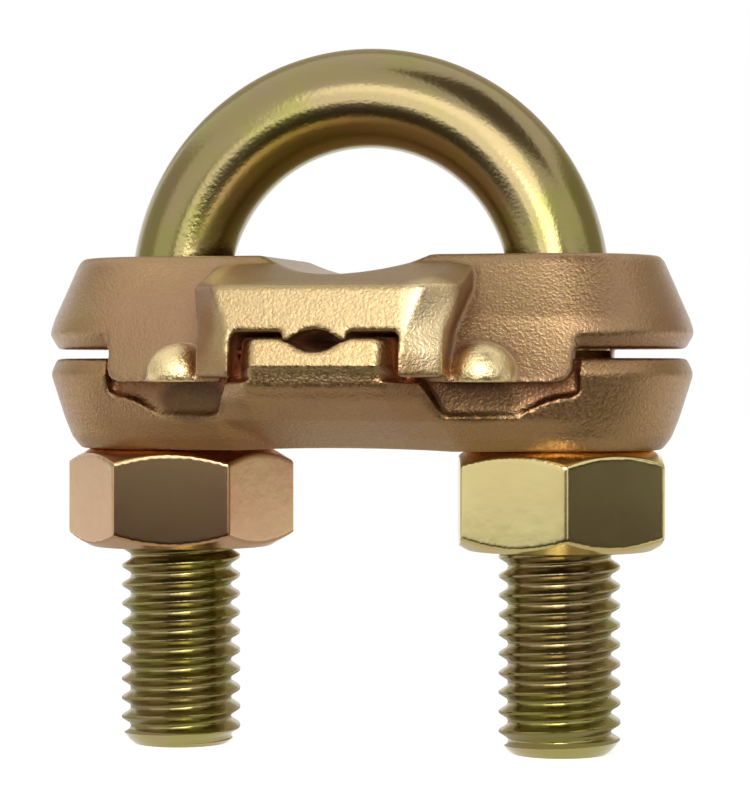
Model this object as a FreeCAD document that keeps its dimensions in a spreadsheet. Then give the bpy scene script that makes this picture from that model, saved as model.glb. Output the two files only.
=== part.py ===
import FreeCAD, Part
import math
import os
import Sketcher

# Earthing connector: a U-bolt clamp that ties an earth conductor to a round
# earth rod. The rod lies between the bow and the groove in the upper saddle,
# and the conductor is pinched between the two cast saddles below it.
#
# Frame: +Z up along the legs, +X from the left leg to the right leg, the
# conductor and the rod run along Y. The origin is midway between the legs,
# level with their lower ends.

# Driving sizes in millimetres: alias, value, what it is.
SIZES = [
    ("overall_height", 45.8, "stud ends to the top of the bow"),
    ("leg_spacing", 25.5, "between the two leg axes"),
    ("rod_dia", 6.5, "plain bar of the bow"),
    ("thread_dia", 7.88, "outside of the M8 thread on the legs"),
    ("thread_top", 25.0, "height where the threaded part ends"),
    ("thread_runout", 1.3, "cone from the thread down to the plain bar"),
    ("stud_chamfer", 0.95, "bevel on each stud end"),
    ("stud_projection", 13.1, "stud showing below its nut"),
    ("nut_flats", 13.0, "across the flats of the hexagon nuts"),
    ("nut_height", 6.5, "thickness of the nuts"),
    ("nut_face_dia", 11.9, "flat ring left by the nut's corner bevel"),
    ("nut_bevel_angle", 30.0, "slope of the nut's corner bevel, degrees"),
    ("nut_bore_play", 0.06, "radial play between nut and leg"),
    ("nut_bore_bevel", 0.55, "countersink at both ends of the nut's bore"),
    ("nut_left_turn", 11.0, "how far the left nut is turned, degrees"),
    ("nut_right_turn", 43.0, "how far the right nut is turned, degrees"),
    ("leg_hole_play", 0.41, "radial play between a saddle and the legs"),
    ("saddle_end_x", 13.1, "centre of the round saddle ends"),
    ("lower_height", 5.9, "lower saddle, underside to split face"),
    ("lower_foot_radius", 6.25, "round ends of its underside"),
    ("lower_foot_y", 7.0, "half depth of its underside"),
    ("lower_bilge_z", 0.8, "height where the turn of the bilge ends"),
    ("lower_bilge_radius", 6.87, "round ends there"),
    ("lower_bilge_y", 8.6, "half depth there"),
    ("lower_belly_z", 2.0, "height of the belly"),
    ("lower_belly_radius", 7.35, "round ends at the belly"),
    ("lower_belly_y", 10.5, "half depth at the belly"),
    ("lower_rim_z", 4.9, "height of the widest line"),
    ("lower_rim_radius", 8.27, "round ends at the widest line"),
    ("lower_rim_y", 11.8, "half depth at the widest line"),
    ("lower_split_radius", 7.85, "round ends at the split face"),
    ("lower_split_y", 11.5, "half depth at the split face"),
    ("lower_waist_x", 7.4, "corner where the flanks meet the middle"),
    ("lower_arch", 0.2, "rise of the underside between the nuts"),
    ("lower_arch_half", 7.0, "half width of that rise"),
    ("tongue_half", 4.95, "half width of the tongue and its ridge"),
    ("tongue_front_half", 4.0, "half width of its front face"),
    ("tongue_corner", 1.3, "how far its corners are cut back"),
    ("tongue_foot_z", 4.0, "height where the tongue leaves its root"),
    ("tongue_foot_in", 0.45, "front face there, behind the lip"),
    ("tongue_lip_z", 5.25, "height of the lip's lower edge"),
    ("tongue_lip_step", 0.2, "lip proud of the face below it"),
    ("tongue_lip_edge", 0.15, "height of the lip's upright edge"),
    ("tongue_bevel", 0.45, "depth of the slope above the lip"),
    ("root_front_half", 4.4, "half width of the root's front face"),
    ("root_flank_x", 7.0, "half width of the root at its corners"),
    ("root_belly_front_y", 11.6, "front of the root at the belly"),
    ("root_belly_flank_y", 10.5, "its corners there"),
    ("root_chin_z", 3.3, "height where the root turns upright"),
    ("root_chin_front_y", 13.5, "front of the root there"),
    ("root_chin_flank_y", 11.4, "its corners there"),
    ("root_top_z", 4.4, "top of the root, under the noses"),
    ("root_top_front_y", 14.25, "front of the root at its top"),
    ("root_top_flank_y", 11.7, "its corners there"),
    ("ridge_height", 1.25, "ridge above the split face"),
    ("cable_radius", 2.4, "grooves that pinch the conductor"),
    ("cable_half", 1.65, "half width of those grooves at the lands"),
    ("land_width", 0.35, "flat beside each groove where the saddles meet"),
    ("land_drop", 0.2, "lands below the top of the ridge"),
    ("land_play", 0.1, "side play of the upper saddle's boss on the lands"),
    ("wall_in_x", 6.2, "inner end of the recess for the skirts"),
    ("wall_in_y", 10.6, "recess wall there, from the middle"),
    ("wall_in_z", 4.4, "recess floor there"),
    ("wall_out_y", 6.9, "recess wall at the outer end"),
    ("wall_out_z", 3.7, "recess floor at the outer end"),
    ("pocket_in_x", 7.3, "inner end of the recess's deep part"),
    ("pocket_out_x", 11.6, "outer end of that part"),
    ("pocket_z", 2.3, "floor of that part"),
    ("ledge_x", 13.4, "where the floor has risen to the ledge"),
    ("ledge_z", 3.3, "height of the ledge"),
    ("skirt_play", 0.3, "gap between the skirts and the recess"),
    ("split_gap", 0.6, "gap between the saddles at the ends"),
    ("upper_height", 6.0, "upper saddle, split face to top"),
    ("upper_crown_radius", 6.1, "round ends of the top face"),
    ("upper_crown_waist_x", 7.0, "corner of the top face"),
    ("upper_crown_y", 6.0, "half depth of the top face"),
    ("upper_shoulder_z", 5.65, "height where the crown's bevel starts"),
    ("upper_shoulder_radius", 6.42, "round ends there"),
    ("upper_shoulder_waist_x", 7.0, "corner of the outline there"),
    ("upper_shoulder_y", 6.45, "half depth there"),
    ("upper_middle_z", 2.0, "height of the middle line"),
    ("upper_middle_radius", 8.03, "round ends at the middle line"),
    ("upper_middle_waist_x", 7.4, "corner of the outline there"),
    ("upper_middle_y", 9.3, "half depth at the middle line"),
    ("upper_hem_radius", 9.3, "round ends carried down to the hem"),
    ("upper_hem_waist_x", 7.8, "corner of the hem outline"),
    ("upper_hem_y", 12.1, "half depth at the hem"),
    ("skirt_drop", 2.1, "skirts below the split face"),
    ("skirt_end_x", 15.05, "outer end of the skirts"),
    ("end_bevel_radius", 7.75, "round ends at the split face"),
    ("end_bevel_rise", 1.0, "height of the bevel under the ends"),
    ("end_bevel_top_radius", 8.34, "round ends where that bevel ends"),
    ("nose_half", 7.8, "half width of the cable nose"),
    ("nose_front_half", 5.5, "half width of its front face"),
    ("nose_reach", 14.6, "half depth of the noses and of the tongue between them"),
    ("nose_flank_y", 13.3, "half depth at its outer corners"),
    ("nose_sill_z", 0.2, "foot of the sloping front, below the split face"),
    ("nose_drop", 1.8, "bottom of the nose, below the split face"),
    ("nose_brow_z", 1.0, "where the front narrows least, above the split face"),
    ("nose_brow_front_half", 5.6, "half width of the front there"),
    ("nose_brow_front_y", 14.2, "half depth of the front there"),
    ("nose_brow_flank_y", 12.8, "half depth of the outer corners there"),
    ("nose_top_z", 3.85, "upper edge of the sloping front"),
    ("nose_top_half", 8.6, "half width of the nose there"),
    ("nose_top_front_half", 6.8, "half width of the front there"),
    ("nose_top_front_y", 13.5, "half depth of the front there"),
    ("nose_top_flank_y", 11.0, "half depth of the outer corners there"),
    ("nose_shelf_z", 5.5, "back edge of the shelf above the front"),
    ("nose_shelf_half", 8.4, "half width of the shelf there"),
    ("nose_shelf_front_half", 7.0, "half width of its front there"),
    ("nose_shelf_front_y", 6.4, "half depth of its front there"),
    ("nose_shelf_flank_y", 5.8, "half depth of its corners there"),
    ("channel_play", 0.35, "side gap between tongue and nose"),
    ("ceiling_play", 0.3, "gap between ridge and channel ceiling"),
    ("dome_radius", 2.05, "the four round bosses on the skirts"),
    ("dome_rise", 0.4, "their centres above the hem"),
    ("dome_x", 9.75, "their distance from the middle, across"),
    ("dome_y", 10.4, "their distance from the middle, along the cable"),
    ("rod_groove_radius", 12.0, "groove for the earth rod"),
    ("rod_groove_depth", 1.35, "its depth"),
    ("rod_groove_lip", 1.0, "round at its two edges"),
    ("hole_stretch", 1.5, "upper saddle's holes run this far inwards"),
    ("skirt_corner", 1.0, "round on the outer corner of each skirt"),
    ("overrun", 30.0, "how far cutting shapes reach past the body"),
]

doc = FreeCAD.newDocument("earthing_connector")
sheet = doc.addObject("Spreadsheet::Sheet", "Sizes")
for row, (alias, number, note) in enumerate(SIZES, start=1):
    sheet.set("A%d" % row, note)
    sheet.set("B%d" % row, str(number))
    sheet.setAlias("B%d" % row, alias)
doc.recompute()


class Length:
    """A length as a number, with the sheet expression that drives it."""

    def __init__(self, value, text):
        self.value = value
        self.text = text

    def joined(self, other, sign, value):
        return Length(value, "(" + self.text + " " + sign + " " + as_length(other).text + ")")

    def __add__(self, other):
        return self.joined(other, "+", self.value + as_length(other).value)

    def __sub__(self, other):
        return self.joined(other, "-", self.value - as_length(other).value)

    def __mul__(self, other):
        return self.joined(other, "*", self.value * as_length(other).value)

    def __truediv__(self, other):
        return self.joined(other, "/", self.value / as_length(other).value)

    def __neg__(self):
        return Length(-self.value, "(0 - " + self.text + ")")


def as_length(thing):
    return thing if isinstance(thing, Length) else Length(thing, repr(thing))


def root(length):
    return Length(math.sqrt(length.value), "sqrt(" + length.text + ")")


def size(alias):
    return Length(float(sheet.get(alias)), "Sizes." + alias)


def leg_x():
    return size("leg_spacing") / 2


def bow_centre_z():
    return size("overall_height") - size("rod_dia") / 2 - leg_x()


def leg_hole_radius():
    return size("thread_dia") / 2 + size("leg_hole_play")


def lower_saddle_z():
    return size("stud_projection") + size("nut_height")


def upper_saddle_z():
    return lower_saddle_z() + size("lower_height") + size("split_gap")


def new_body(label):
    body = doc.addObject("PartDesign::Body", label)
    body.Label = label
    return body


def seat(body, z, x=None, turn=None):
    """Places a body in the assembly, tied to the sheet."""
    body.setExpression("Placement.Base.z", z.text)
    if x is not None:
        body.setExpression("Placement.Base.x", x.text)
    if turn is not None:
        body.Placement = FreeCAD.Placement(
            FreeCAD.Vector(0, 0, 0), FreeCAD.Rotation(FreeCAD.Vector(0, 0, 1), 1)
        )
        body.setExpression("Placement.Rotation.Angle", turn.text)


def attach(thing, body, role, offset=None):
    """Attaches a sketch or primitive to one of the body's origin planes."""
    plane = [item for item in body.Origin.OriginFeatures if item.Role == role][0]
    thing.AttachmentSupport = [(plane, "")]
    thing.MapMode = "FlatFace"
    for axis, length in (offset or {}).items():
        thing.setExpression("AttachmentOffset.Base." + axis, length.text)


def new_sketch(body, name, role, offset=None):
    sketch = body.newObject("Sketcher::SketchObject", name)
    attach(sketch, body, role, {"z": offset} if offset else None)
    return sketch


def drive(sketch, constraint, length):
    index = sketch.addConstraint(constraint)
    sketch.setExpression("Constraints[%d]" % index, length.text)


def pin_x(sketch, geometry, end, x):
    if as_length(x).value == 0:
        sketch.addConstraint(Sketcher.Constraint("PointOnObject", geometry, end, -2))
    else:
        drive(sketch, Sketcher.Constraint("DistanceX", -1, 1, geometry, end, x.value), x)


def pin_y(sketch, geometry, end, y):
    if as_length(y).value == 0:
        sketch.addConstraint(Sketcher.Constraint("PointOnObject", geometry, end, -1))
    else:
        drive(sketch, Sketcher.Constraint("DistanceY", -1, 1, geometry, end, y.value), y)


def point(x, y):
    return FreeCAD.Vector(as_length(x).value, as_length(y).value, 0)


def add_arc(sketch, start, end, centre, clockwise):
    """Adds an arc and returns its index with its start and end point numbers."""
    if clockwise:
        start, end = end, start
    first = math.atan2(start.y - centre.y, start.x - centre.x)
    last = math.atan2(end.y - centre.y, end.x - centre.x)
    circle = Part.Circle(centre, FreeCAD.Vector(0, 0, 1), (start - centre).Length)
    index = sketch.addGeometry(Part.ArcOfCircle(circle, first, last), False)
    return (index, 2, 1) if clockwise else (index, 1, 2)


def draw(sketch, edges):
    """Draws a closed outline and ties every corner to the sheet.

    An edge is (x, y) where it starts, for a straight one, or
    (x, y, centre x, centre y, clockwise) for an arc. The far end of an arc
    takes only the coordinate that its radius leaves open.
    """
    drawn = []
    for edge, following in zip(edges, edges[1:] + edges[:1]):
        start = point(edge[0], edge[1])
        end = point(following[0], following[1])
        if len(edge) == 2:
            drawn.append((sketch.addGeometry(Part.LineSegment(start, end), False), 1, 2))
        else:
            drawn.append(add_arc(sketch, start, end, point(edge[2], edge[3]), edge[4]))
    for place, (index, start, end) in enumerate(drawn):
        previous = drawn[place - 1]
        sketch.addConstraint(Sketcher.Constraint("Coincident", previous[0], previous[2], index, start))
        edge = edges[place]
        before = edges[place - 1]
        spoke = point(edge[0], edge[1]) - point(before[2], before[3]) if len(before) > 2 else None
        if spoke is None or abs(spoke.x) <= abs(spoke.y):
            pin_x(sketch, index, start, edge[0])
        if spoke is None or abs(spoke.x) > abs(spoke.y):
            pin_y(sketch, index, start, edge[1])
        if len(edge) > 2:
            pin_x(sketch, index, 3, edge[2])
            pin_y(sketch, index, 3, edge[3])


def draw_circle(sketch, x, y, radius):
    index = sketch.addGeometry(Part.Circle(point(x, y), FreeCAD.Vector(0, 0, 1), radius.value), False)
    pin_x(sketch, index, 3, x)
    pin_y(sketch, index, 3, y)
    drive(sketch, Sketcher.Constraint("Radius", index, radius.value), radius)


def draw_flange(sketch, end_x, radius, waist_x, waist_y):
    """Plan of a saddle: two round ends, four tangent flanks, two straight sides."""
    away = FreeCAD.Vector(waist_x.value - end_x.value, waist_y.value, 0)
    reach = away.Length
    along = radius.value * math.sqrt(reach ** 2 - radius.value ** 2) / reach ** 2
    touch_x = end_x.value + away.x * (radius.value / reach) ** 2 + away.y * along
    touch_y = away.y * (radius.value / reach) ** 2 - away.x * along
    corners = [
        (touch_x, touch_y), (waist_x.value, waist_y.value),
        (-waist_x.value, waist_y.value), (-touch_x, touch_y),
        (-touch_x, -touch_y), (-waist_x.value, -waist_y.value),
        (waist_x.value, -waist_y.value), (touch_x, -touch_y),
    ]
    drawn = []
    for place, corner in enumerate(corners):
        start = point(*corner)
        end = point(*corners[(place + 1) % len(corners)])
        if place in (3, 7):
            centre = point(math.copysign(end_x.value, corner[0]), 0)
            drawn.append(add_arc(sketch, start, end, centre, False)[0])
        else:
            drawn.append(sketch.addGeometry(Part.LineSegment(start, end), False))
    for place, index in enumerate(drawn):
        joint = "Tangent" if place in (2, 3, 6, 7) else "Coincident"
        following = drawn[(place + 1) % len(drawn)]
        sketch.addConstraint(Sketcher.Constraint(joint, index, 2, following, 1))
    for arc, x in ((drawn[3], -end_x), (drawn[7], end_x)):
        pin_x(sketch, arc, 3, x)
        pin_y(sketch, arc, 3, 0)
        drive(sketch, Sketcher.Constraint("Radius", arc, radius.value), radius)
    for side, x, y in ((1, waist_x, waist_y), (2, -waist_x, waist_y),
                       (5, -waist_x, -waist_y), (6, waist_x, -waist_y)):
        pin_x(sketch, drawn[side], 1, x)
        pin_y(sketch, drawn[side], 1, y)


def mirrored(corners, flip_x, flip_y):
    """Corners of one quarter turned into those of another, order reversed if needed."""
    turned = [(-x if flip_x else x, -y if flip_y else y) for x, y in corners]
    return turned[::-1] if flip_x != flip_y else turned


def draw_octagon(sketch, flank_x, flank_y, front_x, front_y):
    """A rectangle with its four corners cut, the cut running from flank to front."""
    draw(sketch, [
        (flank_x, -flank_y), (flank_x, flank_y), (front_x, front_y), (-front_x, front_y),
        (-flank_x, flank_y), (-flank_x, -flank_y), (-front_x, -front_y), (front_x, -front_y),
    ])


def extrude(body, kind, name, sketch, length=None, symmetric=False, reverse=False):
    """Pads or pockets a sketch; with no length the cut goes right through."""
    feature = body.newObject("PartDesign::" + kind, name)
    feature.Profile = sketch
    if length is None:
        feature.Type = "ThroughAll"
    else:
        feature.setExpression("Length", length.text)
    if symmetric:
        feature.SideType = "Symmetric"
    feature.Reversed = reverse
    doc.recompute()
    return feature


def loft(body, kind, name, sketches):
    feature = body.newObject("PartDesign::" + kind, name)
    feature.Profile = sketches[0]
    feature.Sections = sketches[1:]
    feature.Ruled = True
    doc.recompute()
    return feature


def spin(body, kind, name, sketch, axis):
    feature = body.newObject("PartDesign::" + kind, name)
    feature.Profile = sketch
    feature.ReferenceAxis = (sketch, [axis])
    feature.Angle = 360
    doc.recompute()
    return feature


def round_edges(body, name, radius, wanted):
    """Rounds the edges of the body so far for which wanted(edge) is true."""
    base = body.Tip
    names = [
        "Edge%d" % number
        for number, edge in enumerate(base.Shape.Edges, start=1) if wanted(edge)
    ]
    feature = body.newObject("PartDesign::Fillet", name)
    feature.Base = (base, names)
    feature.setExpression("Radius", radius.text)
    doc.recompute()
    return feature


def make_u_bolt():
    """Bent bar with an M8 thread on both legs; the thread is its outside cylinder."""
    body = new_body("u_bolt")
    path = new_sketch(body, "bow_path", "XZ_Plane")
    foot = size("thread_top")
    x = leg_x()
    top = bow_centre_z()
    left = path.addGeometry(Part.LineSegment(point(-x, foot), point(-x, top)), False)
    bow = add_arc(path, point(-x, top), point(x, top), point(0, top), True)
    right = path.addGeometry(Part.LineSegment(point(x, top), point(x, foot)), False)
    path.addConstraint(Sketcher.Constraint("Tangent", left, 2, bow[0], bow[1]))
    path.addConstraint(Sketcher.Constraint("Tangent", right, 1, bow[0], bow[2]))
    path.addConstraint(Sketcher.Constraint("Vertical", left))
    path.addConstraint(Sketcher.Constraint("Vertical", right))
    pin_x(path, bow[0], 3, 0)
    pin_y(path, bow[0], 3, top)
    drive(path, Sketcher.Constraint("Radius", bow[0], x.value), x)
    pin_y(path, left, 1, foot)
    pin_y(path, right, 2, foot)
    ring = new_sketch(body, "bow_section", "XY_Plane", foot)
    draw_circle(ring, -x, 0, size("rod_dia") / 2)
    pipe = body.newObject("PartDesign::AdditivePipe", "bow")
    pipe.Profile = ring
    pipe.Spine = (path, [])
    doc.recompute()

    thread = size("thread_dia") / 2
    bar = size("rod_dia") / 2
    bevel = size("stud_chamfer")
    for name, side in (("left_leg", -x), ("right_leg", x)):
        half = new_sketch(body, name + "_profile", "XZ_Plane")
        draw(half, [
            (side, 0),
            (side + thread - bevel, 0),
            (side + thread, bevel),
            (side + thread, foot),
            (side + bar, foot + size("thread_runout")),
            (side, foot + size("thread_runout")),
        ])
        line = half.addGeometry(Part.LineSegment(point(side, 0), point(side, foot)), True)
        half.addConstraint(Sketcher.Constraint("Coincident", line, 1, 0, 1))
        half.addConstraint(Sketcher.Constraint("Vertical", line))
        pin_y(half, line, 2, foot)
        spin(body, "Revolution", name, half, "Axis0")
    return body


def make_nut(label, x, turn):
    """Hexagon nut, bevelled on both faces, bored for the outside of the thread."""
    body = new_body(label)
    corner = size("nut_flats") / math.sqrt(3)
    half = size("nut_flats") / 2
    hexagon = new_sketch(body, label + "_hexagon", "XY_Plane")
    draw(hexagon, [
        (corner / 2, -half), (corner, 0), (corner / 2, half),
        (-corner / 2, half), (-corner, 0), (-corner / 2, -half),
    ])
    extrude(body, "Pad", label + "_blank", hexagon, size("nut_height"))
    bore = new_sketch(body, label + "_bore_circle", "XY_Plane")
    radius = size("thread_dia") / 2 + size("nut_bore_play")
    draw_circle(bore, 0, 0, radius)
    extrude(body, "Pocket", label + "_bore", bore, reverse=True)

    slope = math.tan(math.radians(size("nut_bevel_angle").value))
    drop = Length(slope, "tan(" + size("nut_bevel_angle").text + ")")
    face = size("nut_face_dia") / 2
    outside = size("nut_flats")
    fall = (outside - face) * drop
    height = size("nut_height")
    sink = size("nut_bore_bevel")
    rings = {
        "lower_bevel": [(face, 0), (outside, fall), (outside, -sink), (face, -sink)],
        "upper_bevel": [(face, height), (face, height + sink),
                        (outside, height + sink), (outside, height - fall)],
        "lower_countersink": [(radius, sink), (radius - sink, 0), (radius + sink, 0)],
        "upper_countersink": [(radius, height - sink), (radius + sink, height),
                              (radius - sink, height)],
    }
    for name, corners in rings.items():
        ring = new_sketch(body, label + "_" + name + "_profile", "XZ_Plane")
        draw(ring, corners)
        spin(body, "Groove", label + "_" + name, ring, "V_Axis")
    seat(body, size("stud_projection"), x, turn)
    return body


def wall_y(x):
    """Half depth of the recess wall at a distance x from the middle."""
    outer = size("skirt_end_x") + size("skirt_play")
    fall = (size("wall_in_y") - size("wall_out_y")) / (outer - size("wall_in_x"))
    return size("wall_in_y") - (x - size("wall_in_x")) * fall


def ridge_top():
    return size("lower_height") + size("ridge_height")


def cable_centre_rise():
    """Height of a cable groove's centre above its lands."""
    chord = size("cable_half")
    return root(size("cable_radius") * size("cable_radius") - chord * chord)


def make_lower_saddle():
    """Cast saddle that the nuts bear on, with a tongue along the cable."""
    body = new_body("lower_saddle")
    top = size("lower_height")
    levels = (("foot", None), ("bilge", size("lower_bilge_z")), ("belly", size("lower_belly_z")),
              ("rim", size("lower_rim_z")), ("split", top))
    outlines = []
    for name, height in levels:
        outline = new_sketch(body, name + "_outline", "XY_Plane", height)
        draw_flange(outline, size("saddle_end_x"), size("lower_" + name + "_radius"),
                    size("lower_waist_x"), size("lower_" + name + "_y"))
        outlines.append(outline)
    loft(body, "AdditiveLoft", "lower_blank", outlines)

    front = size("root_front_half")
    flank = size("root_flank_x")
    foot_y = size("lower_foot_y")
    sections = (
        ("foot", None, foot_y, foot_y - size("tongue_corner")),
        ("belly", size("lower_belly_z"), size("root_belly_front_y"), size("root_belly_flank_y")),
        ("chin", size("root_chin_z"), size("root_chin_front_y"), size("root_chin_flank_y")),
        ("top", size("root_top_z"), size("root_top_front_y"), size("root_top_flank_y")),
    )
    outlines = []
    for name, height, front_y, flank_y in sections:
        outline = new_sketch(body, "root_" + name + "_outline", "XY_Plane", height)
        draw_octagon(outline, flank, flank_y, front, front_y)
        outlines.append(outline)
    loft(body, "AdditiveLoft", "tongue_root", outlines)

    far = size("skirt_end_x") + size("skirt_play")
    stations = (
        ("inner", size("wall_in_x"), size("wall_in_z")),
        ("pocket_inner", size("pocket_in_x"), size("pocket_z")),
        ("pocket_outer", size("pocket_out_x"), size("pocket_z")),
        ("ledge", size("ledge_x"), size("ledge_z")),
        ("outer", far, size("wall_out_z")),
    )
    beyond = size("overrun")
    above = top + beyond
    for name, flip_x, flip_y in (("front_left", True, True), ("front_right", False, True),
                                 ("back_left", True, False), ("back_right", False, False)):
        ends = []
        for label, x, floor in stations:
            end = new_sketch(body, name + "_" + label + "_end", "YZ_Plane", -x if flip_x else x)
            wall = wall_y(x)
            draw(end, mirrored([(wall, floor), (beyond, floor), (beyond, above), (wall, above)],
                               flip_y, False))
            ends.append(end)
        loft(body, "SubtractiveLoft", name + "_recess", ends)

    reach = size("nose_reach")
    lip = size("tongue_lip_z")
    upright = reach - size("tongue_lip_step")
    sections = (
        ("foot", size("tongue_foot_z"), reach - size("tongue_foot_in")),
        ("throat", lip, upright),
        ("lip", lip + size("tongue_lip_edge") / 3, reach),
        ("brow", lip + size("tongue_lip_edge"), reach),
        ("crown", ridge_top(), reach - size("tongue_bevel")),
    )
    outlines = []
    for name, height, front_y in sections:
        outline = new_sketch(body, "tongue_" + name + "_outline", "XY_Plane", height)
        draw_octagon(outline, size("tongue_half"), front_y - size("tongue_corner"),
                     size("tongue_front_half"), front_y)
        outlines.append(outline)
    loft(body, "AdditiveLoft", "tongue", outlines)

    land = ridge_top() - size("land_drop")
    half = size("cable_half")
    edge = half + size("land_width") + size("land_play")
    groove = new_sketch(body, "cable_groove_profile", "XZ_Plane")
    draw(groove, [
        (-edge, above), (-edge, land),
        (-half, land, 0, land + cable_centre_rise(), False),
        (half, land), (edge, land), (edge, above),
    ])
    extrude(body, "Pocket", "cable_groove", groove, symmetric=True)

    arch = size("lower_arch")
    arch_half = size("lower_arch_half")
    arch_radius = (arch_half * arch_half + arch * arch) / (arch * 2)
    hollow = new_sketch(body, "arch_profile", "XZ_Plane")
    draw(hollow, [
        (arch_half, 0, 0, arch - arch_radius, False),
        (-arch_half, 0), (-arch_half, -beyond), (arch_half, -beyond),
    ])
    extrude(body, "Pocket", "arch", hollow, symmetric=True)

    holes = new_sketch(body, "lower_leg_holes_outline", "XY_Plane")
    for x in (-leg_x(), leg_x()):
        draw_circle(holes, x, 0, leg_hole_radius())
    extrude(body, "Pocket", "lower_leg_holes", holes, reverse=True)
    seat(body, lower_saddle_z())
    return body


def make_upper_saddle():
    """Cast saddle under the rod, with skirts and two noses over the lower one."""
    body = new_body("upper_saddle")
    top = size("upper_height")
    drop = size("skirt_drop")
    levels = (("hem", -drop), ("middle", size("upper_middle_z")),
              ("shoulder", size("upper_shoulder_z")), ("crown", top))
    outlines = []
    for name, height in levels:
        outline = new_sketch(body, name + "_outline", "XY_Plane", height)
        draw_flange(outline, size("saddle_end_x"), size("upper_" + name + "_radius"),
                    size("upper_" + name + "_waist_x"), size("upper_" + name + "_y"))
        outlines.append(outline)
    loft(body, "AdditiveLoft", "upper_blank", outlines)

    sections = (
        ("drop", -size("nose_drop"), size("nose_half"), size("nose_flank_y"),
         size("nose_front_half"), size("nose_reach")),
        ("sill", -size("nose_sill_z"), size("nose_half"), size("nose_flank_y"),
         size("nose_front_half"), size("nose_reach")),
        ("brow", size("nose_brow_z"), size("nose_half"), size("nose_brow_flank_y"),
         size("nose_brow_front_half"), size("nose_brow_front_y")),
        ("top", size("nose_top_z"), size("nose_top_half"), size("nose_top_flank_y"),
         size("nose_top_front_half"), size("nose_top_front_y")),
        ("shelf", size("nose_shelf_z"), size("nose_shelf_half"), size("nose_shelf_flank_y"),
         size("nose_shelf_front_half"), size("nose_shelf_front_y")),
    )
    outlines = []
    for name, height, flank_x, flank_y, front_x, front_y in sections:
        outline = new_sketch(body, "nose_" + name + "_outline", "XY_Plane", height)
        draw_octagon(outline, flank_x, flank_y, front_x, front_y)
        outlines.append(outline)
    loft(body, "AdditiveLoft", "noses", outlines)

    for name, flip_x, flip_y in (("front_left", True, True), ("front_right", False, True),
                                 ("back_left", True, False), ("back_right", False, False)):
        dome = body.newObject("PartDesign::AdditiveSphere", name + "_dome")
        x = size("dome_x")
        y = size("dome_y")
        attach(dome, body, "XY_Plane", {
            "x": -x if flip_x else x, "y": -y if flip_y else y, "z": size("dome_rise") - drop,
        })
        dome.setExpression("Radius", size("dome_radius").text)
        dome.setExpression("Angle1", "-asin(Sizes.dome_rise / Sizes.dome_radius)")
        doc.recompute()

    notch = size("tongue_half") + size("channel_play")
    skirt_end = size("skirt_end_x")
    far = size("overrun")
    play = size("skirt_play")
    step = size("wall_in_x") + play
    rim = size("lower_rim_y") + play
    quarter = [
        (far, far), (skirt_end, far), (skirt_end, wall_y(skirt_end) + play),
        (step, wall_y(step) + play), (step, rim), (notch, rim), (notch, far),
    ]
    underside = new_sketch(body, "underside_outline", "XY_Plane")
    draw(underside, mirrored(quarter, False, False) + mirrored(quarter, True, False)
         + mirrored(quarter, True, True) + mirrored(quarter, False, True))
    extrude(body, "Pocket", "underside", underside)

    land = size("ridge_height") - size("land_drop") - size("split_gap")
    ceiling = size("ridge_height") - size("split_gap") + size("ceiling_play")
    half = size("cable_half")
    boss = half + size("land_width")
    channel = new_sketch(body, "channel_profile", "XZ_Plane")
    draw(channel, [
        (-notch, -far), (-notch, ceiling), (-boss, ceiling), (-boss, land),
        (-half, land, 0, land - cable_centre_rise(), True),
        (half, land), (boss, land), (boss, ceiling), (notch, ceiling), (notch, -far),
    ])
    extrude(body, "Pocket", "channel", channel, symmetric=True)

    radius = size("rod_groove_radius")
    lip = size("rod_groove_lip")
    drop_to_lip = radius + lip - size("rod_groove_depth")
    reach = root((radius + lip) * (radius + lip) - drop_to_lip * drop_to_lip)
    share = radius / (radius + lip)
    centre_z = top - size("rod_groove_depth") + radius
    touch_z = centre_z - drop_to_lip * share
    groove = new_sketch(body, "rod_groove_profile", "XZ_Plane")
    draw(groove, [
        (-reach, top, -reach, top - lip, True),
        (-reach * share, touch_z, 0, centre_z, False),
        (reach * share, touch_z, reach, top - lip, True),
        (reach, top), (reach, top + far), (-reach, top + far),
    ])
    extrude(body, "Pocket", "rod_groove", groove, symmetric=True)

    holes = new_sketch(body, "upper_leg_holes_outline", "XY_Plane", top)
    play = leg_hole_radius()
    outer = leg_x()
    inner = leg_x() - size("hole_stretch")
    for name, side in (("left", -1), ("right", 1)):
        a = outer * side
        b = inner * side
        draw_slot(holes, a, b, play)
    extrude(body, "Pocket", "upper_leg_holes", holes)

    def on_skirt_corner(edge):
        box = edge.BoundBox
        return (abs(box.ZMin + drop.value) < 0.01 and abs(box.ZMax + drop.value) < 0.01
                and abs(abs(box.Center.x) - skirt_end.value) < 0.01 and box.XLength < 0.01)

    round_edges(body, "skirt_corners", size("skirt_corner"), on_skirt_corner)
    bevel_ends(body)
    seat(body, upper_saddle_z())
    return body


def bevel_ends(body):
    """Cone under each round end of the upper saddle, from skirt to skirt."""
    centre = size("saddle_end_x")
    low = size("end_bevel_radius")
    high = size("end_bevel_top_radius")
    rise = size("end_bevel_rise")
    past = high * 2 - low
    sweep = "2 * acos((Sizes.skirt_end_x - Sizes.saddle_end_x) / Sizes.end_bevel_radius)"
    for name, side in (("left", -1), ("right", 1)):
        profile = new_sketch(body, name + "_end_bevel_profile", "XZ_Plane")
        draw(profile, [((centre + low) * side, 0), ((centre + past) * side, rise * 2),
                       ((centre + past) * side, 0)])
        x = centre * side
        line = profile.addGeometry(Part.LineSegment(point(x, 0), point(x, rise)), True)
        pin_x(profile, line, 1, x)
        pin_y(profile, line, 1, 0)
        pin_x(profile, line, 2, x)
        pin_y(profile, line, 2, rise)
        groove = spin(body, "Groove", name + "_end_bevel", profile, "Axis0")
        groove.setExpression("Angle", sweep)
        groove.Midplane = True
        doc.recompute()


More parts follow.
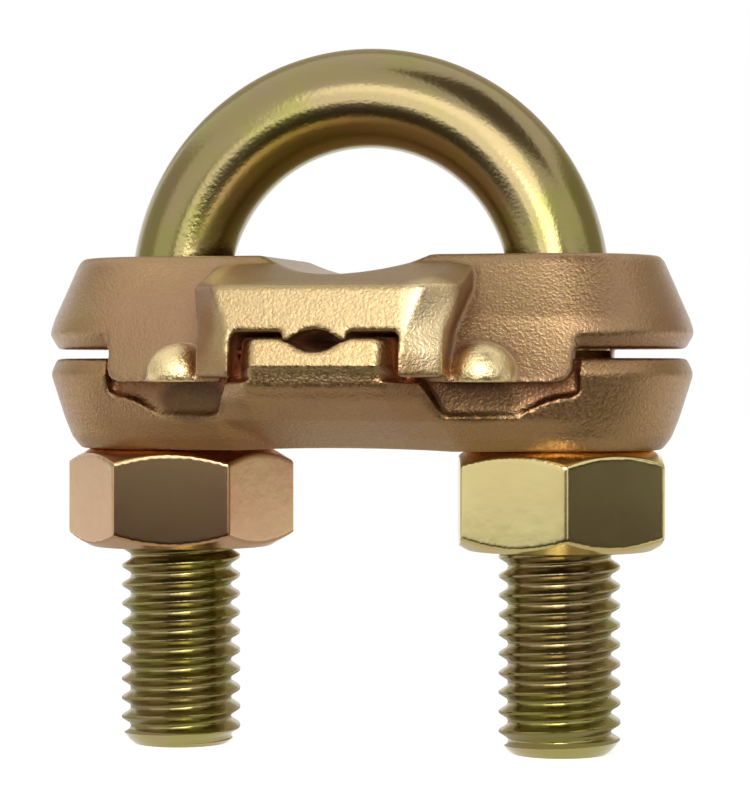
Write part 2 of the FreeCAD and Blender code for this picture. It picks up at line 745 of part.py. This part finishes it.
def draw_slot(sketch, outer, inner, radius):
    """A leg hole: two half circles joined by straight sides along X."""
    side = 1 if outer.value > inner.value else -1
    right, left = (outer, inner) if side > 0 else (inner, outer)
    high = radius.value
    arc_right = add_arc(sketch, point(right, -high), point(right, high), point(right, 0), False)[0]
    above = sketch.addGeometry(Part.LineSegment(point(right, high), point(left, high)), False)
    arc_left = add_arc(sketch, point(left, high), point(left, -high), point(left, 0), False)[0]
    below = sketch.addGeometry(Part.LineSegment(point(left, -high), point(right, -high)), False)
    loop = (arc_right, above, arc_left, below)
    for index, following in zip(loop, loop[1:] + loop[:1]):
        sketch.addConstraint(Sketcher.Constraint("Tangent", index, 2, following, 1))
    sketch.addConstraint(Sketcher.Constraint("Horizontal", above))
    for arc, x in ((arc_right, right), (arc_left, left)):
        pin_x(sketch, arc, 3, x)
        pin_y(sketch, arc, 3, 0)
    drive(sketch, Sketcher.Constraint("Radius", arc_right, high), radius)


bodies = [
    make_u_bolt(),
    make_upper_saddle(),
    make_lower_saddle(),
    make_nut("nut_left", -leg_x(), size("nut_left_turn")),
    make_nut("nut_right", leg_x(), size("nut_right_turn")),
]
doc.recompute()

for item in doc.Objects:
    if "Invalid" in item.State or "Error" in item.State:
        raise RuntimeError(item.Name + " failed: " + str(item.State))
for body in bodies:
    shape = body.Shape
    if shape.isNull() or not shape.isValid() or len(shape.Solids) != 1:
        raise RuntimeError(body.Label + " is not one valid solid")

os.makedirs("parts", exist_ok=True)
for body in bodies:
    body.Shape.exportStep("parts/" + body.Label + ".step")
    box = body.Shape.optimalBoundingBox(False, False)
    print("%-14s volume %9.2f mm3  x %7.2f %7.2f  y %7.2f %7.2f  z %7.2f %7.2f" % (
        body.Label, body.Shape.Volume, box.XMin, box.XMax, box.YMin, box.YMax, box.ZMin, box.ZMax))
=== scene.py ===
import math

import bpy
from mathutils import Matrix, Vector


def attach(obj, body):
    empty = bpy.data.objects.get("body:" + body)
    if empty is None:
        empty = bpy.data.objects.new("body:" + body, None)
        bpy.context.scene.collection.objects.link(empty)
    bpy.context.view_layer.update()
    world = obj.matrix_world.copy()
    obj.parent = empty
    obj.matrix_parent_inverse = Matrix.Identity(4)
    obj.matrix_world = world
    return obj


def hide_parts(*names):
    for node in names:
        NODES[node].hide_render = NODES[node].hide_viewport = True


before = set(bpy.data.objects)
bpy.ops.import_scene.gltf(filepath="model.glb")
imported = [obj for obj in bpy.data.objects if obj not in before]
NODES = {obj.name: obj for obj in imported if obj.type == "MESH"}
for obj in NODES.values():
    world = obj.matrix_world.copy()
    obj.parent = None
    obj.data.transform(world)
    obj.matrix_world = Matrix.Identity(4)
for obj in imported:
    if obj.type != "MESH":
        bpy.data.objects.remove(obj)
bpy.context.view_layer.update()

MM = 0.001

# Sizes of the U-bolt, as the frame has them. Above its thread each leg narrows to the
# plain bar, whose mesh starts inside that run-out.
LEG_X = 12.75 * MM
BAR_RADIUS = 3.25 * MM
BAR_FOOT = 24.8 * MM
BOW_CENTRE_Z = 29.8 * MM
THREAD_RADIUS = 3.94 * MM
THREAD_DEPTH = 0.60 * MM
THREAD_TOP = 25.0 * MM
RUN_OUT_FOOT = 24.4 * MM
RUN_OUT_TOP = 26.1 * MM
PITCH = 1.25 * MM

# The bevel on each stud end: a flat disc, a slope that is flatter near the disc, and the
# height where the thread is full.
END_FLAT_IN = 0.90 * MM
END_EDGE_IN = 0.55 * MM
END_EDGE_Z = 0.28 * MM
FULL_THREAD_Z = 1.05 * MM

# Voxels that the softened copies are built from, finer for the nuts' sharper edges.
CAST_VOXEL = 0.20 * MM
NUT_VOXEL = 0.12 * MM

# Painted highlights and painted shade on the castings: the middle, the half size along each
# axis, how softly the place ends, and the colour there. All four domes and pockets and both
# noses and lips are given where x and y are positive. The two corners are the front nose's
# own.
# Painted highlight: the domes' tops in a bright pale gold.
PAINTED_HIGHLIGHT_DOME = (Vector((9.75, 10.4, 24.4)) * MM, Vector((2.06, 2.06, 2.06)) * MM,
               0.08, "#F0D8A0")
# Painted highlight: the noses' fronts brighter and yellower.
PAINTED_HIGHLIGHT_NOSE = (Vector((0, 14.6, 28.3)) * MM, Vector((7.6, 2.2, 3.4)) * MM,
                0.25, "#B49A6A")
# Painted highlight on the front nose's right corner.
PAINTED_HIGHLIGHT_CORNER = (Vector((7.1, -13.0, 28.0)) * MM, Vector((1.3, 1.7, 2.4)) * MM,
                 0.70, "#E8D0A0")
# Painted shade on the front nose's left corner.
PAINTED_SHADE_CORNER = (Vector((-7.7, -12.8, 28.4)) * MM, Vector((1.0, 1.7, 2.8)) * MM,
               0.70, "#987040")
# Painted highlight along the lips of the lower casting.
PAINTED_HIGHLIGHT_LIP = (Vector((0, 14.6, 25.8)) * MM, Vector((5.4, 1.8, 1.6)) * MM,
              0.25, "#BCA070")
# Painted shade in the pockets under the skirts.
PAINTED_SHADE_POCKET = (Vector((9.3, 11.0, 22.9)) * MM, Vector((2.4, 4.0, 1.2)) * MM,
               0.35, "#6E5230")

# Sizes of the marks in the finishes. Tones vary over several millimetres. Sand grains,
# the dents that shot leaves, and zinc crystals are about 0.1 mm on the real piece, too
# fine to show, so they are drawn two to four times as coarse.
BRONZE_PATCH = 6.25 * MM
SAND_GRAIN = 0.42 * MM
SHOT_DENT = 0.19 * MM
BOLT_CLOUD = 5.0 * MM
DRAWN_RIPPLE = 0.70 * MM
ZINC_CRYSTAL = 0.24 * MM
NUT_CLOUD = 7.0 * MM
FORGED_RIPPLE = 1.10 * MM
# How far the castings' painted shade and painted bounce light reach for nearby faces.
NOOK_REACH = 2.5 * MM

# The view: 13.3 degrees to the right of the front, with the eye 200 mm away and nearly
# level with the middle. Pixels are those of the 750 by 785 frame.
VIEW_AZIMUTH = 13.3
VIEW_DISTANCE = 200.0 * MM
EYE_HEIGHT = 24.73 * MM
FRAME_WIDTH = 750
FRAME_HEIGHT = 785
PART_MIDDLE_X = 367.5
EYE_LEVEL_Y = 370.3
PIXELS_PER_METRE = 15.25 / MM
SENSOR_WIDTH = 36.0

# The part's middle, where cards are placed from and face, and what the lamps aim at.
MIDDLE = Vector((0, 0, 23.0)) * MM
LAMP_AIM = Vector((0, 0, 28.0)) * MM

# Levels of the white surround: what the paper adds to its own shading, and what the
# surround gives the part where it isn't seen or reflected.
PAPER_GLOW = 0.80
SURROUND_LIGHT = 0.35

# How far a card lies above the floor.
CARD_LIFT = 1.0 * MM


# Picking and shaping

def deselect_all():
    if bpy.context.object and bpy.context.object.mode != "OBJECT":
        bpy.ops.object.mode_set(mode="OBJECT")
    bpy.ops.object.select_all(action="DESELECT")


def work_on(piece):
    deselect_all()
    piece.select_set(True)
    bpy.context.view_layer.objects.active = piece


def named(name):
    """Names the piece that has just been added, with its mesh."""
    piece = bpy.context.object
    piece.name = name
    piece.data.name = name
    return piece


def apply_modifier(piece, kind, **settings):
    work_on(piece)
    modifier = piece.modifiers.new(kind.lower(), kind)
    for key, value in settings.items():
        setattr(modifier, key, value)
    bpy.ops.object.modifier_apply(modifier=modifier.name)


def place(piece, where):
    """Moves a piece to its place and leaves its object at the origin."""
    work_on(piece)
    piece.location = where
    bpy.ops.object.transform_apply(location=True, rotation=True, scale=True)


def join(name, *pieces):
    deselect_all()
    for piece in pieces:
        piece.select_set(True)
    bpy.context.view_layer.objects.active = pieces[0]
    bpy.ops.object.join()
    return named(name)


def smooth(piece, angle=None):
    """Shades a piece smooth, all over or only where faces meet at less than an angle."""
    work_on(piece)
    if angle is None:
        bpy.ops.object.shade_smooth()
    else:
        bpy.ops.object.shade_smooth_by_angle(angle=math.radians(angle))


# The threaded U-bolt

def turned(name, outline, pitch=0.0, turns=1, steps=64):
    """Turns an outline of (radius, height) points about Z, rising by pitch each turn."""
    deselect_all()
    bpy.ops.mesh.primitive_plane_add(size=MM)
    piece = named(name)
    bpy.ops.object.mode_set(mode="EDIT")
    bpy.ops.mesh.select_all(action="SELECT")
    bpy.ops.mesh.merge(type="CENTER")
    bpy.ops.transform.translate(value=(outline[0][0], 0, outline[0][1]))
    for (r0, z0), (r1, z1) in zip(outline, outline[1:]):
        bpy.ops.mesh.extrude_region_move(
            TRANSFORM_OT_translate={"value": (r1 - r0, 0, z1 - z0)})
    bpy.ops.object.mode_set(mode="OBJECT")
    apply_modifier(piece, "SCREW", axis="Z", angle=math.tau, screw_offset=pitch,
                   iterations=turns, steps=steps, render_steps=steps,
                   use_merge_vertices=(pitch == 0), merge_threshold=1e-7)
    bpy.ops.object.mode_set(mode="EDIT")
    bpy.ops.mesh.select_all(action="SELECT")
    bpy.ops.mesh.remove_doubles(threshold=2e-6)
    bpy.ops.mesh.normals_make_consistent(inside=False)
    bpy.ops.object.mode_set(mode="OBJECT")
    return piece


def cut_level(piece, height, keep_above):
    """Cuts a solid level at a height and closes the cut."""
    work_on(piece)
    bpy.ops.object.mode_set(mode="EDIT")
    bpy.ops.mesh.select_all(action="SELECT")
    bpy.ops.mesh.bisect(plane_co=(0, 0, height), plane_no=(0, 0, 1), use_fill=True,
                        clear_inner=keep_above, clear_outer=not keep_above)
    bpy.ops.object.mode_set(mode="OBJECT")


def make_thread(name, phase):
    """One M8 x 1.25 leg: rolled thread with soft crests, bevelled end and run-out.

    phase is the share of a turn by which the thread starts later. The thread is turned
    too long, closed above and below, and trimmed to what it shares with an envelope.
    """
    crest = THREAD_RADIUS
    root = crest - THREAD_DEPTH
    foot_of_flank = root + 0.06 * MM
    head_of_flank = crest - 0.10 * MM
    edge_of_crest = crest - 0.015 * MM
    seam = root + 0.02 * MM
    # One tooth: how far along the pitch, and the radius there.
    tooth = [(0.00, seam), (0.10, root), (0.22, foot_of_flank),
             (0.44, head_of_flank), (0.50, edge_of_crest), (0.57, crest),
             (0.64, edge_of_crest), (0.70, head_of_flank),
             (0.92, foot_of_flank), (1.00, seam)]
    spare_turns = 2
    spare_below = 0.6 * MM
    spare_above = 0.1 * MM
    start = -spare_turns * PITCH + phase * PITCH
    outline = [(radius, start + share * PITCH) for share, radius in tooth]
    turns = int(THREAD_TOP / PITCH) + 3 * spare_turns
    thread = turned(name, outline, PITCH, turns, steps=72)
    cut_level(thread, -spare_below, keep_above=True)
    cut_level(thread, RUN_OUT_TOP + spare_above, keep_above=False)
    outside = crest + 0.10 * MM
    sunk_in_bar = 0.05 * MM
    envelope = turned(name + "_envelope", [
        (0, 0.0), (crest - END_FLAT_IN, 0.0),
        (crest - END_EDGE_IN, END_EDGE_Z), (outside, FULL_THREAD_Z),
        (outside, RUN_OUT_FOOT), (BAR_RADIUS - sunk_in_bar, RUN_OUT_TOP),
        (0, RUN_OUT_TOP + sunk_in_bar)])
    apply_modifier(thread, "BOOLEAN", operation="INTERSECT", solver="EXACT", object=envelope)
    bpy.data.objects.remove(envelope)
    return thread


def make_bow():
    """Plain bar: up from the left leg, half a turn over the top, down into the right."""
    deselect_all()
    bpy.ops.mesh.primitive_circle_add(vertices=56, radius=BAR_RADIUS, fill_type="NGON",
                                      location=(-LEG_X, 0, BAR_FOOT))
    bow = named("bow")
    bpy.ops.object.transform_apply(location=True)
    bpy.ops.object.mode_set(mode="EDIT")
    bpy.ops.mesh.select_all(action="SELECT")
    bpy.ops.mesh.extrude_region_move(
        TRANSFORM_OT_translate={"value": (0, 0, BOW_CENTRE_Z - BAR_FOOT)})
    bpy.ops.mesh.spin(steps=96, angle=math.pi, center=(0, 0, BOW_CENTRE_Z), axis=(0, -1, 0))
    bpy.ops.mesh.extrude_region_move(
        TRANSFORM_OT_translate={"value": (0, 0, BAR_FOOT - BOW_CENTRE_Z)})
    bpy.ops.mesh.select_all(action="SELECT")
    bpy.ops.mesh.remove_doubles(threshold=1e-6)
    bpy.ops.mesh.normals_make_consistent(inside=False)
    bpy.ops.object.mode_set(mode="OBJECT")
    return bow


def make_u_bolt():
    left = make_thread("left_thread", phase=0.30)
    place(left, (-LEG_X, 0, 0))
    right = make_thread("right_thread", phase=0.05)
    place(right, (LEG_X, 0, 0))
    bolt = join("u_bolt_rolled", make_bow(), left, right)
    smooth(bolt, angle=38)
    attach(bolt, "u_bolt")
    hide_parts("u_bolt")
    return bolt


# Castings and nuts

def softened(node, name, voxel, passes):
    """A copy of a solid with the soft edges that a mould or a forging die leaves.

    More passes of smoothing over larger voxels give softer edges.
    """
    piece = NODES[node].copy()
    piece.data = NODES[node].data.copy()
    piece.parent = None
    for key in list(piece.keys()):
        del piece[key]
    bpy.context.scene.collection.objects.link(piece)
    piece.name = name
    piece.data.name = name
    work_on(piece)
    bpy.ops.object.mode_set(mode="EDIT")
    bpy.ops.mesh.select_all(action="SELECT")
    bpy.ops.mesh.remove_doubles(threshold=2e-6)
    bpy.ops.object.mode_set(mode="OBJECT")
    apply_modifier(piece, "REMESH", mode="VOXEL", voxel_size=voxel, use_smooth_shade=True)
    apply_modifier(piece, "SMOOTH", factor=0.5, iterations=passes)
    smooth(piece)
    return piece


def make_saddle(node, name, passes):
    saddle = softened(node, name, CAST_VOXEL, passes)
    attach(saddle, node)
    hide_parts(node)
    return saddle


def make_nut(node, name):
    nut = softened(node, name, NUT_VOXEL, passes=3)
    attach(nut, node)
    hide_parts(node)
    return nut


# Finishes

# Sockets of a Mix node that mixes colours. Others share their names, so they go by number.
MIX_SHARE = 0
MIX_COLOUR = 6
MIX_TINT = 7
MIX_RESULT = 2


def linear(code):
    """sRGB hex to the linear colour that a shader takes."""
    values = [int(code[i:i + 2], 16) / 255 for i in (1, 3, 5)]
    return tuple(v / 12.92 if v <= 0.04045 else ((v + 0.055) / 1.055) ** 2.4
                 for v in values) + (1.0,)


def new_finish(name):
    """A new material, its node tree, and the shader that the tree starts with."""
    finish = bpy.data.materials.new(name)
    finish.use_nodes = True
    tree = finish.node_tree
    return finish, tree, tree.nodes["Principled BSDF"]


def feed(tree, node, inputs):
    """Gives input sockets, by name or number, the outputs or the values that they take."""
    for socket, source in inputs.items():
        if isinstance(source, bpy.types.NodeSocket):
            tree.links.new(source, node.inputs[socket])
        else:
            node.inputs[socket].default_value = source


def add_node(tree, kind, inputs=None, **settings):
    """Adds a node, sets its properties and feeds its inputs."""
    node = tree.nodes.new(kind)
    for key, value in settings.items():
        setattr(node, key, value)
    feed(tree, node, inputs or {})
    return node


def set_stops(node, *stops):
    """Gives a colour ramp its stops, each a value with a hex colour or a grey level."""
    elements = node.color_ramp.elements
    while len(elements) < len(stops):
        elements.new(0.5)
    for element, (value, colour) in zip(elements, stops):
        element.position = value
        element.color = linear(colour) if isinstance(colour, str) else (colour,) * 3 + (1.0,)


def near(tree, where, middle, reach, fade):
    """1 on the surface around a place, 0 away from it.

    reach is the half size of that place along each axis, fade how softly it ends.
    """
    offset = add_node(tree, "ShaderNodeVectorMath", {0: where, 1: middle},
                      operation="SUBTRACT")
    scaled = add_node(tree, "ShaderNodeVectorMath", {0: offset.outputs["Vector"], 1: reach},
                      operation="DIVIDE")
    away = add_node(tree, "ShaderNodeVectorMath", {0: scaled.outputs["Vector"]},
                    operation="LENGTH")
    share = add_node(tree, "ShaderNodeMapRange", {
        "Value": away.outputs["Value"], "From Min": 1.0 + fade, "From Max": 1.0})
    return share.outputs["Result"]


def cast_bronze(name, *touches, film):
    """Gunmetal cast in sand and shot-blasted: warm tan metal, soft highlights that break
    into fine sparkle, pinker where the cast skin is thicker, with painted shade where other
    faces stand close and a painted coppery bounce light down in its crevices.

    The touches are painted highlights and painted shade in another colour, each given in the
    same form as the dome's painted highlight. One with no negative coordinate stands for its
    mirror images too. film is how much clear oxide lies over it all.
    """
    finish, tree, shader = new_finish(name)
    where = add_node(tree, "ShaderNodeTexCoord").outputs["Object"]
    folded = add_node(tree, "ShaderNodeVectorMath", {0: where}, operation="ABSOLUTE")

    patches = add_node(tree, "ShaderNodeTexNoise", {
        "Vector": where, "Scale": 1.0 / BRONZE_PATCH, "Detail": 3.0})
    skin = add_node(tree, "ShaderNodeValToRGB", {"Fac": patches.outputs["Fac"]})
    set_stops(skin, (0.35, "#A6805A"), (0.62, "#AA8A5C"))
    nooks = add_node(tree, "ShaderNodeAmbientOcclusion", {"Distance": NOOK_REACH}, samples=8)
    # Painted bounce light: the deepest crevices turn a bright copper.
    bounce_light_share = add_node(tree, "ShaderNodeMapRange", {
        "Value": nooks.outputs["AO"], "From Min": 0.40, "From Max": 0.15})
    colour = add_node(tree, "ShaderNodeMix", {
        MIX_SHARE: bounce_light_share.outputs["Result"], MIX_COLOUR: skin.outputs["Color"],
        MIX_TINT: linear("#FFC490")}, data_type="RGBA")
    # Painted highlights and painted shade at the touches.
    for middle, reach, fade, tint in touches:
        spot = folded.outputs["Vector"] if min(middle) >= 0 else where
        colour = add_node(tree, "ShaderNodeMix", {
            MIX_SHARE: near(tree, spot, middle, reach, fade),
            MIX_COLOUR: colour.outputs[MIX_RESULT],
            MIX_TINT: linear(tint)}, data_type="RGBA")
    # Painted shade: darker where other faces stand close.
    painted_shade_ramp = add_node(tree, "ShaderNodeValToRGB", {"Fac": nooks.outputs["AO"]})
    set_stops(painted_shade_ramp, (0.15, "#FFFFFF"), (0.40, "#B88C68"), (0.9, "#FFFFFF"))
    painted_shade_colour = add_node(tree, "ShaderNodeMix", {
        MIX_SHARE: 1.0, MIX_COLOUR: colour.outputs[MIX_RESULT],
        MIX_TINT: painted_shade_ramp.outputs["Color"]}, data_type="RGBA", blend_type="MULTIPLY")

    dents = add_node(tree, "ShaderNodeTexNoise", {
        "Vector": where, "Scale": 1.0 / SHOT_DENT, "Detail": 1.0})
    dull = add_node(tree, "ShaderNodeValToRGB", {"Fac": dents.outputs["Fac"]})
    set_stops(dull, (0.35, 0.34), (0.7, 0.52))
    sand = add_node(tree, "ShaderNodeTexNoise", {
        "Vector": where, "Scale": 1.0 / SAND_GRAIN, "Detail": 2.0})
    coarse = add_node(tree, "ShaderNodeBump", {
        "Height": sand.outputs["Fac"], "Strength": 0.28, "Distance": 0.05 * MM})
    fine = add_node(tree, "ShaderNodeBump", {
        "Height": dents.outputs["Fac"], "Strength": 1.0, "Distance": 0.05 * MM,
        "Normal": coarse.outputs["Normal"]})

    feed(tree, shader, {
        "Base Color": painted_shade_colour.outputs[MIX_RESULT], "Metallic": 1.0,
        "Roughness": dull.outputs["Color"], "Normal": fine.outputs["Normal"],
        "Coat Weight": film, "Coat Roughness": 0.35})
    return finish


def plated_steel():
    """Zinc plate with a yellow chromate film on a drawn bar: bright pale gold with green
    and brown clouds, and reflections whose edges break up into sparkling crystals."""
    finish, tree, shader = new_finish("zinc_plate_yellow_chromate")
    where = add_node(tree, "ShaderNodeTexCoord").outputs["Object"]
    clouds = add_node(tree, "ShaderNodeTexNoise", {
        "Vector": where, "Scale": 1.0 / BOLT_CLOUD, "Detail": 2.0})
    film = add_node(tree, "ShaderNodeValToRGB", {"Fac": clouds.outputs["Fac"]})
    set_stops(film, (0.40, "#998860"), (0.5, "#988B5A"), (0.60, "#938C4E"))
    drawn = add_node(tree, "ShaderNodeTexNoise", {
        "Vector": where, "Scale": 1.0 / DRAWN_RIPPLE, "Detail": 2.0})
    faint = add_node(tree, "ShaderNodeBump", {
        "Height": drawn.outputs["Fac"], "Strength": 0.12, "Distance": 0.03 * MM})
    crystals = add_node(tree, "ShaderNodeTexNoise", {
        "Vector": where, "Scale": 1.0 / ZINC_CRYSTAL, "Detail": 1.0})
    sparkle = add_node(tree, "ShaderNodeBump", {
        "Height": crystals.outputs["Fac"], "Strength": 0.6, "Distance": 0.02 * MM,
        "Normal": faint.outputs["Normal"]})
    feed(tree, shader, {
        "Base Color": film.outputs["Color"], "Metallic": 1.0, "Roughness": 0.22,
        "Normal": sparkle.outputs["Normal"], "Coat Weight": 0.3, "Coat Roughness": 0.10})
    return finish


def plated_nut(name, thin, thick):
    """The same film on a forged nut: thin and thick are its colours where it lies thin,
    with the steel greyer or pinker beneath it, and where it lies thick and yellow."""
    finish, tree, shader = new_finish(name)
    where = add_node(tree, "ShaderNodeTexCoord").outputs["Object"]
    clouds = add_node(tree, "ShaderNodeTexNoise", {
        "Vector": where, "Scale": 1.0 / NUT_CLOUD, "Detail": 2.0})
    film = add_node(tree, "ShaderNodeValToRGB", {"Fac": clouds.outputs["Fac"]})
    set_stops(film, (0.35, thin), (0.65, thick))
    forged = add_node(tree, "ShaderNodeTexNoise", {
        "Vector": where, "Scale": 1.0 / FORGED_RIPPLE, "Detail": 3.0})
    faint = add_node(tree, "ShaderNodeBump", {
        "Height": forged.outputs["Fac"], "Strength": 0.25, "Distance": 0.04 * MM})
    feed(tree, shader, {
        "Base Color": film.outputs["Color"], "Metallic": 1.0, "Roughness": 0.18,
        "Normal": faint.outputs["Normal"]})
    return finish


def dress(piece, finish):
    piece.data.materials.clear()
    piece.data.materials.append(finish)


# Studio

def towards(azimuth, elevation, reach):
    """A point at reach from the part's middle, azimuth 0 in front, positive to the right."""
    turn = math.radians(azimuth)
    rise = math.radians(elevation)
    level = math.cos(rise)
    return MIDDLE + reach * Vector((math.sin(turn) * level, -math.cos(turn) * level,
                                    math.sin(rise)))


def make_camera():
    """Level camera whose lens gives the part its size in the frame, shifted so that the
    eye's level and the part's middle fall where the frame has them."""
    azimuth = math.radians(VIEW_AZIMUTH)
    back = Vector((math.sin(azimuth), -math.cos(azimuth), 0))
    across = Vector((math.cos(azimuth), math.sin(azimuth), 0))
    data = bpy.data.cameras.new("camera")
    data.sensor_fit = "HORIZONTAL"
    data.sensor_width = SENSOR_WIDTH
    data.lens = PIXELS_PER_METRE * VIEW_DISTANCE * SENSOR_WIDTH / FRAME_WIDTH
    data.clip_start = 0.01
    data.clip_end = 10.0
    data.shift_y = -(FRAME_HEIGHT / 2 - EYE_LEVEL_Y) / FRAME_WIDTH
    camera = bpy.data.objects.new("camera", data)
    bpy.context.scene.collection.objects.link(camera)
    aside = (FRAME_WIDTH / 2 - PART_MIDDLE_X) / PIXELS_PER_METRE
    eye = back * VIEW_DISTANCE + across * aside + Vector((0, 0, EYE_HEIGHT))
    turn = Matrix((across, Vector((0, 0, 1)), back)).transposed().to_4x4()
    camera.matrix_world = Matrix.Translation(eye) @ turn
    bpy.context.scene.camera = camera


def add_lamp(name, where, size, radiance):
    """Soft box aimed at the part. Its power follows from how bright its face is to look."""
    data = bpy.data.lights.new(name, "AREA")
    data.shape = "RECTANGLE"
    data.size = size[0]
    data.size_y = size[1]
    data.energy = radiance * math.pi * size[0] * size[1]
    lamp = bpy.data.objects.new(name, data)
    bpy.context.scene.collection.objects.link(lamp)
    lamp.location = where
    aim = LAMP_AIM - where
    lamp.rotation_euler = aim.to_track_quat("-Z", "Y").to_euler()
    lamp.visible_camera = False


def backdrop_rays(tree):
    """1 for rays of the camera, of glossy reflections and of transmission, else 0."""
    path = add_node(tree, "ShaderNodeLightPath")
    seen = path.outputs["Is Camera Ray"]
    for other in ("Is Glossy Ray", "Is Transmission Ray"):
        seen = add_node(tree, "ShaderNodeMath", {0: seen, 1: path.outputs[other]},
                        operation="MAXIMUM").outputs[0]
    return seen


def white_paper():
    """Matt white paper: seen as plain white, a little greyer where the part shades it."""
    finish, tree, shader = new_finish("matt_white_paper")
    level = add_node(tree, "ShaderNodeMapRange", {
        "Value": backdrop_rays(tree), "To Min": 0.0, "To Max": PAPER_GLOW})
    feed(tree, shader, {
        "Base Color": linear("#D8D6D2"), "Roughness": 0.9, "Specular IOR Level": 0.0,
        "Emission Color": (1, 1, 1, 1), "Emission Strength": level.outputs["Result"]})
    return finish


def make_world():
    """White surround in every direction, lighting the part at a third of that level."""
    world = bpy.data.worlds.new("studio")
    bpy.context.scene.world = world
    world.use_nodes = True
    tree = world.node_tree
    level = add_node(tree, "ShaderNodeMapRange", {
        "Value": backdrop_rays(tree), "To Min": SURROUND_LIGHT, "To Max": 1.0})
    feed(tree, tree.nodes["Background"], {
        "Color": (1, 1, 1, 1), "Strength": level.outputs["Result"]})


def add_card(name, azimuth, elevation, size, colour, reach=0.5, floor_gap=None):
    """Matt card seen only in the part's reflections. It stands reach away, or with
    a floor_gap it lies on the floor with its near edge that far from the middle."""
    finish, tree, shader = new_finish(name + "_cloth")
    feed(tree, shader, {
        "Base Color": (0, 0, 0, 1), "Specular IOR Level": 0.0,
        "Emission Color": linear(colour), "Emission Strength": 1.0})
    deselect_all()
    bpy.ops.mesh.primitive_plane_add(size=1.0)
    card = named(name)
    bpy.ops.object.mode_set(mode="EDIT")
    bpy.ops.mesh.select_all(action="SELECT")
    bpy.ops.transform.resize(value=(size[0], size[1], 1))
    bpy.ops.object.mode_set(mode="OBJECT")
    if floor_gap is not None:
        card.location = towards(azimuth, 0, floor_gap + size[1] / 2)
        card.location.z = CARD_LIFT
        card.rotation_euler = (0, 0, math.radians(azimuth))
    else:
        card.location = towards(azimuth, elevation, reach)
        aim = MIDDLE - card.location
        card.rotation_euler = aim.to_track_quat("-Z", "Y").to_euler()
    bpy.ops.object.transform_apply(location=True, rotation=True, scale=True)
    card.visible_camera = False
    card.visible_shadow = False
    card.visible_diffuse = False
    dress(card, finish)


def make_studio():
    """White paper floor and surround, a soft lamp and a smaller, brighter one in front,
    and cards that the metal reflects: dark ones in front and to the right, pale ones at
    the left and behind, and strips on the floor for what faces down. Angles are in
    degrees, and the sizes of lamps and cards are in metres."""
    deselect_all()
    bpy.ops.mesh.primitive_plane_add(size=3.0)
    floor = named("floor")
    dress(floor, white_paper())
    make_world()
    add_lamp("front", Vector((6, -66, 49)) * MM, (0.060, 0.050), radiance=2.0)
    add_lamp("glint", Vector((19, -64, 37)) * MM, (0.030, 0.022), radiance=4.5)
    add_card("card_camera", 8, 0, (0.46, 0.26), "#0E0C0A")
    add_card("card_right", 74, -6, (0.21, 0.32), "#302820")
    add_card("card_far_right", 116, 14, (0.50, 0.50), "#B0A898")
    add_card("card_left", -88, 8, (0.50, 0.50), "#C4BFB4")
    add_card("card_behind", 188, 38, (0.80, 0.36), "#C8BCA4")
    add_card("card_above", 45, 59, (0.08, 0.09), "#6A6258", reach=0.124)
    add_card("card_low", 8, 0, (0.24, 0.30), "#3E3424", floor_gap=25 * MM)
    add_card("card_low_right", 74, 0, (0.10, 0.30), "#302820", floor_gap=90 * MM)
    add_card("card_under", 8, 0, (0.12, 0.08), "#CCC6BC", floor_gap=-55 * MM)


make_camera()
bolt = make_u_bolt()
upper = make_saddle("upper_saddle", "upper_saddle_casting", passes=5)
lower = make_saddle("lower_saddle", "lower_saddle_casting", passes=8)
nuts = [make_nut("nut_left", "nut_left_forged"), make_nut("nut_right", "nut_right_forged")]

bronze_upper = cast_bronze("gunmetal_upper_casting", PAINTED_HIGHLIGHT_DOME, PAINTED_HIGHLIGHT_NOSE,
                           PAINTED_HIGHLIGHT_CORNER, PAINTED_SHADE_CORNER, film=0.8)
bronze_lower = cast_bronze("gunmetal_lower_casting", PAINTED_SHADE_POCKET, PAINTED_HIGHLIGHT_LIP, film=0.4)
zinc = plated_steel()
nut_zincs = [plated_nut("zinc_plate_left_nut", "#C49A78", "#C8A67C"),
             plated_nut("zinc_plate_right_nut", "#DCC88C", "#E4D898")]
dress(bolt, zinc)
dress(upper, bronze_upper)
dress(lower, bronze_lower)
for nut, nut_zinc in zip(nuts, nut_zincs):
    dress(nut, nut_zinc)
for node in NODES.values():
    dress(node, bronze_upper if "saddle" in node.name else zinc)

make_studio()
bpy.context.scene.view_settings.view_transform = "Standard"
